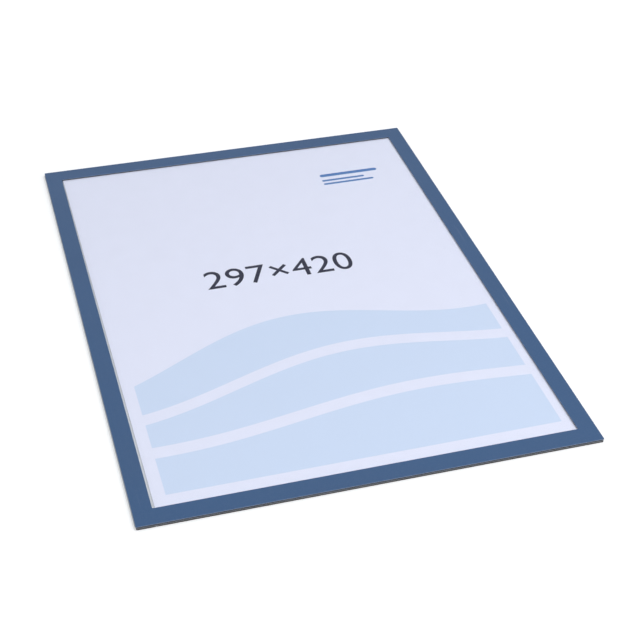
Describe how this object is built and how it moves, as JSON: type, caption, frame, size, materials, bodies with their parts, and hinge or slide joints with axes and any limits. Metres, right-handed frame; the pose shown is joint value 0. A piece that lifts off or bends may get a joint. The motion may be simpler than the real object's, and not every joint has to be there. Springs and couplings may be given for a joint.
{
  "type": "magnetic document frame",
  "caption": "Thin A3 document frame: magnetic front and back leaves close like a book on a sheet, with a slate-blue border round a clear window; the back holds to steel.",
  "frame": {"origin": "middle of the footprint, on the surface that the frame lies on", "axes": "+Z out of the window, +Y to the top of the portrait sheet, +X to the side that opens; the hinge side is -X"},
  "size_m": [0.3236, 0.446, 0.003],
  "materials": {
    "facing": "slate-blue satin PVC, die cut",
    "magnet": "dark brown flexible magnet, matt, cut edges",
    "window_film": "clear glossy film",
    "panel_film": "clear film with a soft gloss",
    "hinge_film": "thin frosted film, folded",
    "sheet": null
  },
  "bodies": {
    "back_leaf": {"back_magnet_top": "magnet", "back_magnet_bottom": "magnet", "back_magnet_left": "magnet", "back_magnet_right": "magnet", "back_panel": "panel_film", "hinge_strip": "hinge_film"},
    "front_leaf": {"front_magnet_top": "magnet", "front_magnet_bottom": "magnet", "front_magnet_left": "magnet", "front_magnet_right": "magnet", "window_film": "window_film", "front_facing": "facing"},
    "document": {"document_sheet": "sheet"}
  },
  "joints": [
    {"name": "leaf_hinge", "type": "hinge", "parent": "back_leaf", "child": "front_leaf", "pos_m": [-0.16162, 0, 0.0015], "axis": [0, -1, 0], "range_deg": [0, 180], "deforming": ["hinge_strip"]},
    {"name": "sheet_slide", "type": "slide", "parent": "back_leaf", "child": "document", "axis": [1, 0, 0], "range_m": [0, 0.32]}
  ]
}
